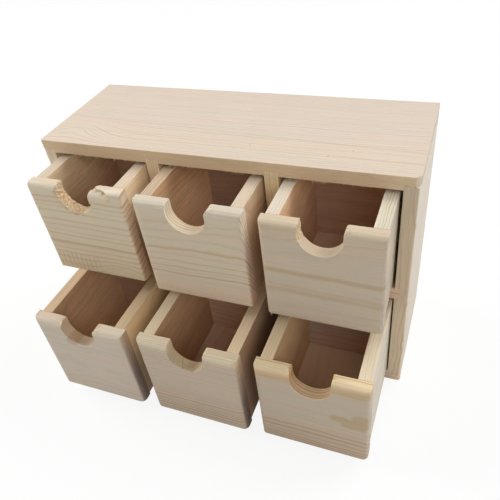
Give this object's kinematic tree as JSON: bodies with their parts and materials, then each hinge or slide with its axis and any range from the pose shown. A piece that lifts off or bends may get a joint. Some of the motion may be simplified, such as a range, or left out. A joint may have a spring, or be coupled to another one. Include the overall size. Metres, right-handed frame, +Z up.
{
  "type": "desktop drawer organizer",
  "caption": "Small wooden desktop case with rows of pull-out drawers, each an open box with a U-shaped finger notch in its front board.",
  "frame": {"origin": "centre of the case's bottom face, on the surface it stands on", "axes": "+X to the right seen from the front, +Z up, and the drawers pull out towards -Y"},
  "size_m": [0.28, 0.185, 0.196],
  "materials": {
    "pine_pale": "bare sanded pine, pale, with fine straight grain",
    "pine_case": "bare sanded pine",
    "pine_front": "bare sanded pine, grain across the front",
    "pine_warm": "bare pine, a little browner"
  },
  "bodies": {
    "case": {"top_board": "pine_pale", "bottom_board": "pine_case", "left_side": "pine_case", "right_side": "pine_pale", "shelf": "pine_warm", "left_divider": "pine_case", "right_divider": "pine_case", "back_panel": "pine_warm"},
    "drawer_1": {"drawer_1_front": "pine_front", "drawer_1_left_side": "pine_pale", "drawer_1_right_side": "pine_pale", "drawer_1_back": "pine_case", "drawer_1_floor": "pine_warm"},
    "drawer_2": {"drawer_2_front": "pine_front", "drawer_2_left_side": "pine_pale", "drawer_2_right_side": "pine_pale", "drawer_2_back": "pine_case", "drawer_2_floor": "pine_warm"},
    "drawer_3": {"drawer_3_front": "pine_front", "drawer_3_left_side": "pine_pale", "drawer_3_right_side": "pine_pale", "drawer_3_back": "pine_case", "drawer_3_floor": "pine_warm"},
    "drawer_4": {"drawer_4_front": "pine_front", "drawer_4_left_side": "pine_pale", "drawer_4_right_side": "pine_pale", "drawer_4_back": "pine_case", "drawer_4_floor": "pine_warm"},
    "drawer_5": {"drawer_5_front": "pine_front", "drawer_5_left_side": "pine_pale", "drawer_5_right_side": "pine_pale", "drawer_5_back": "pine_case", "drawer_5_floor": "pine_warm"},
    "drawer_6": {"drawer_6_front": "pine_front", "drawer_6_left_side": "pine_pale", "drawer_6_right_side": "pine_pale", "drawer_6_back": "pine_case", "drawer_6_floor": "pine_warm"}
  },
  "joints": [
    {"name": "drawer_1_slide", "type": "slide", "parent": "case", "child": "drawer_1", "axis": [0, -1, 0], "range_m": [-0.038, 0.0495]},
    {"name": "drawer_2_slide", "type": "slide", "parent": "case", "child": "drawer_2", "axis": [0, -1, 0], "range_m": [-0.0425, 0.045]},
    {"name": "drawer_3_slide", "type": "slide", "parent": "case", "child": "drawer_3", "axis": [0, -1, 0], "range_m": [-0.0445, 0.043]},
    {"name": "drawer_4_slide", "type": "slide", "parent": "case", "child": "drawer_4", "axis": [0, -1, 0], "range_m": [-0.085, 0.0025]},
    {"name": "drawer_5_slide", "type": "slide", "parent": "case", "child": "drawer_5", "axis": [0, -1, 0], "range_m": [-0.084, 0.0035]},
    {"name": "drawer_6_slide", "type": "slide", "parent": "case", "child": "drawer_6", "axis": [0, -1, 0], "range_m": [-0.082, 0.0055]}
  ]
}
